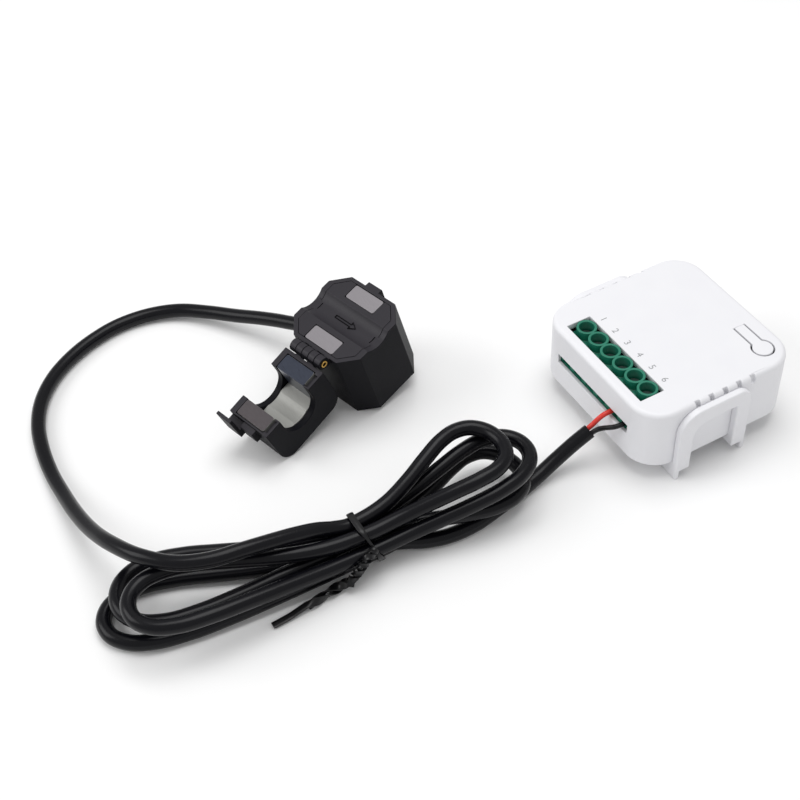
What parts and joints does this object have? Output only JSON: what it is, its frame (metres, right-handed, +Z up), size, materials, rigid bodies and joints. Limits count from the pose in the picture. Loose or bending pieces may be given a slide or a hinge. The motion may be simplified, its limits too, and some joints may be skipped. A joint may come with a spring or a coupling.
{
  "type": "smart energy monitor",
  "caption": "Flush energy metering module on rail clips, with screw terminals and a hinged split-core current clamp on a tied cable.",
  "frame": {"origin": "middle of the case's underside, the plane in which a mounting rail's flanges bear", "axes": "+Z up out of the top cover, -Y towards the wire side, +X along the screw row from pole 1 to pole 6"},
  "size_m": [0.1269, 0.1761, 0.0273],
  "materials": {
    "white_abs": "fine matt",
    "white_base": "fine matt",
    "green_polyamide": "satin",
    "board_laminate": "satin",
    "plated_steel": "bright zinc",
    "tinned_copper": "tinned",
    "bare_copper": "bare strands",
    "shield_can": "plain",
    "black_component": "satin",
    "yellow_tape": "tape",
    "blue_sleeve": "shrunk sleeve",
    "tan_lacquer": "lacquer",
    "blue_lacquer": "lacquer",
    "red_insulation": "soft gloss",
    "black_insulation": "soft gloss",
    "black_abs": "fine texture",
    "core_iron": "ground face",
    "ivory_bobbin": "plain",
    "copper_winding": "enamelled",
    "brass": "plain",
    "foam": "closed cell",
    "black_rubber": "satin",
    "cable_jacket": "soft gloss",
    "tie_plastic": "gloss"
  },
  "bodies": {
    "monitor": {"top_cover": "white_abs", "bottom_cover": "white_base", "rail_clip_left": "white_abs", "rail_clip_right": "white_abs", "circuit_board": "board_laminate", "terminal_body": "green_polyamide", "terminal_contacts": "tinned_copper", "tact_switch": "black_component", "radio_module": "shield_can", "power_transformer": "yellow_tape", "filter_capacitor": "blue_sleeve", "metering_chip": "black_component", "fuse_resistor": "tan_lacquer", "inrush_varistor": "blue_lacquer", "red_wire": "red_insulation", "black_wire": "black_insulation", "wire_conductors": "bare_copper", "clamp_body": "black_abs", "clamp_face_plate": "black_abs", "clamp_core_lower": "core_iron", "clamp_bobbin": "ivory_bobbin", "clamp_winding": "copper_winding", "clamp_pin": "brass", "clamp_gland": "black_rubber", "cable_lead": "cable_jacket", "cable_hank": "cable_jacket", "cable_tail": "cable_jacket", "cable_tie": "tie_plastic"},
    "button": {"reset_button": "white_abs"},
    "plunger": {"switch_plunger": "black_component"},
    "cap": {"clamp_cap": "black_abs", "clamp_core_upper": "core_iron", "clamp_core_pad": "foam"},
    "screw_1": {"terminal_screw_1": "plated_steel"},
    "cage_1": {"clamp_cage_1": "plated_steel"},
    "screw_2": {"terminal_screw_2": "plated_steel"},
    "cage_2": {"clamp_cage_2": "plated_steel"},
    "screw_3": {"terminal_screw_3": "plated_steel"},
    "cage_3": {"clamp_cage_3": "plated_steel"},
    "screw_4": {"terminal_screw_4": "plated_steel"},
    "cage_4": {"clamp_cage_4": "plated_steel"},
    "screw_5": {"terminal_screw_5": "plated_steel"},
    "cage_5": {"clamp_cage_5": "plated_steel"},
    "screw_6": {"terminal_screw_6": "plated_steel"},
    "cage_6": {"clamp_cage_6": "plated_steel"}
  },
  "joints": [
    {"name": "button_flex", "type": "hinge", "parent": "monitor", "child": "button", "pos_m": [0.00735, 0.0165, 0.0168], "axis": [0, 1, 0], "range_deg": [0, 2.2], "stiffness_Nm_per_rad": 0.28},
    {"name": "plunger_slide", "type": "slide", "parent": "monitor", "child": "plunger", "axis": [0, 0, -1], "range_m": [0, 0.00035]},
    {"name": "cap_hinge", "type": "hinge", "parent": "monitor", "child": "cap", "pos_m": [-0.04261, -0.07907, 0.016], "axis": [0.9627, 0.2706, 0], "range_deg": [-186.5, 4]},
    {"name": "screw_turn_1", "type": "hinge", "parent": "monitor", "child": "screw_1", "pos_m": [-0.0127, -0.0156, 0.012], "axis": [0, 0, 1], "range_deg": [0, 1081]},
    {"name": "cage_slide_1", "type": "slide", "parent": "monitor", "child": "cage_1", "axis": [0, 0, -1], "range_m": [0, 0.0015]},
    {"name": "screw_turn_2", "type": "hinge", "parent": "monitor", "child": "screw_2", "pos_m": [-0.00762, -0.0156, 0.012], "axis": [0, 0, 1], "range_deg": [0, 1081]},
    {"name": "cage_slide_2", "type": "slide", "parent": "monitor", "child": "cage_2", "axis": [0, 0, -1], "range_m": [0, 0.0015]},
    {"name": "screw_turn_3", "type": "hinge", "parent": "monitor", "child": "screw_3", "pos_m": [-0.00254, -0.0156, 0.012], "axis": [0, 0, 1], "range_deg": [0, 1081]},
    {"name": "cage_slide_3", "type": "slide", "parent": "monitor", "child": "cage_3", "axis": [0, 0, -1], "range_m": [0, 0.0015]},
    {"name": "screw_turn_4", "type": "hinge", "parent": "monitor", "child": "screw_4", "pos_m": [0.00254, -0.0156, 0.012], "axis": [0, 0, 1], "range_deg": [0, 1081]},
    {"name": "cage_slide_4", "type": "slide", "parent": "monitor", "child": "cage_4", "axis": [0, 0, -1], "range_m": [0, 0.0015]},
    {"name": "screw_turn_5", "type": "hinge", "parent": "monitor", "child": "screw_5", "pos_m": [0.00762, -0.0156, 0.012], "axis": [0, 0, 1], "range_deg": [0, 1081]},
    {"name": "cage_slide_5", "type": "slide", "parent": "monitor", "child": "cage_5", "axis": [0, 0, -1], "range_m": [0, 0.0015]},
    {"name": "screw_turn_6", "type": "hinge", "parent": "monitor", "child": "screw_6", "pos_m": [0.0127, -0.0156, 0.012], "axis": [0, 0, 1], "range_deg": [0, 1081]},
    {"name": "cage_slide_6", "type": "slide", "parent": "monitor", "child": "cage_6", "axis": [0, 0, -1], "range_m": [0, 0.0015]}
  ],
  "couplings": [
    {"joint": "button_flex", "follows": "plunger_slide", "rad_per_m": 109.29},
    {"joint": "screw_turn_1", "follows": "cage_slide_1", "rad_per_m": 12566},
    {"joint": "screw_turn_2", "follows": "cage_slide_2", "rad_per_m": 12566},
    {"joint": "screw_turn_3", "follows": "cage_slide_3", "rad_per_m": 12566},
    {"joint": "screw_turn_4", "follows": "cage_slide_4", "rad_per_m": 12566},
    {"joint": "screw_turn_5", "follows": "cage_slide_5", "rad_per_m": 12566},
    {"joint": "screw_turn_6", "follows": "cage_slide_6", "rad_per_m": 12566}
  ]
}
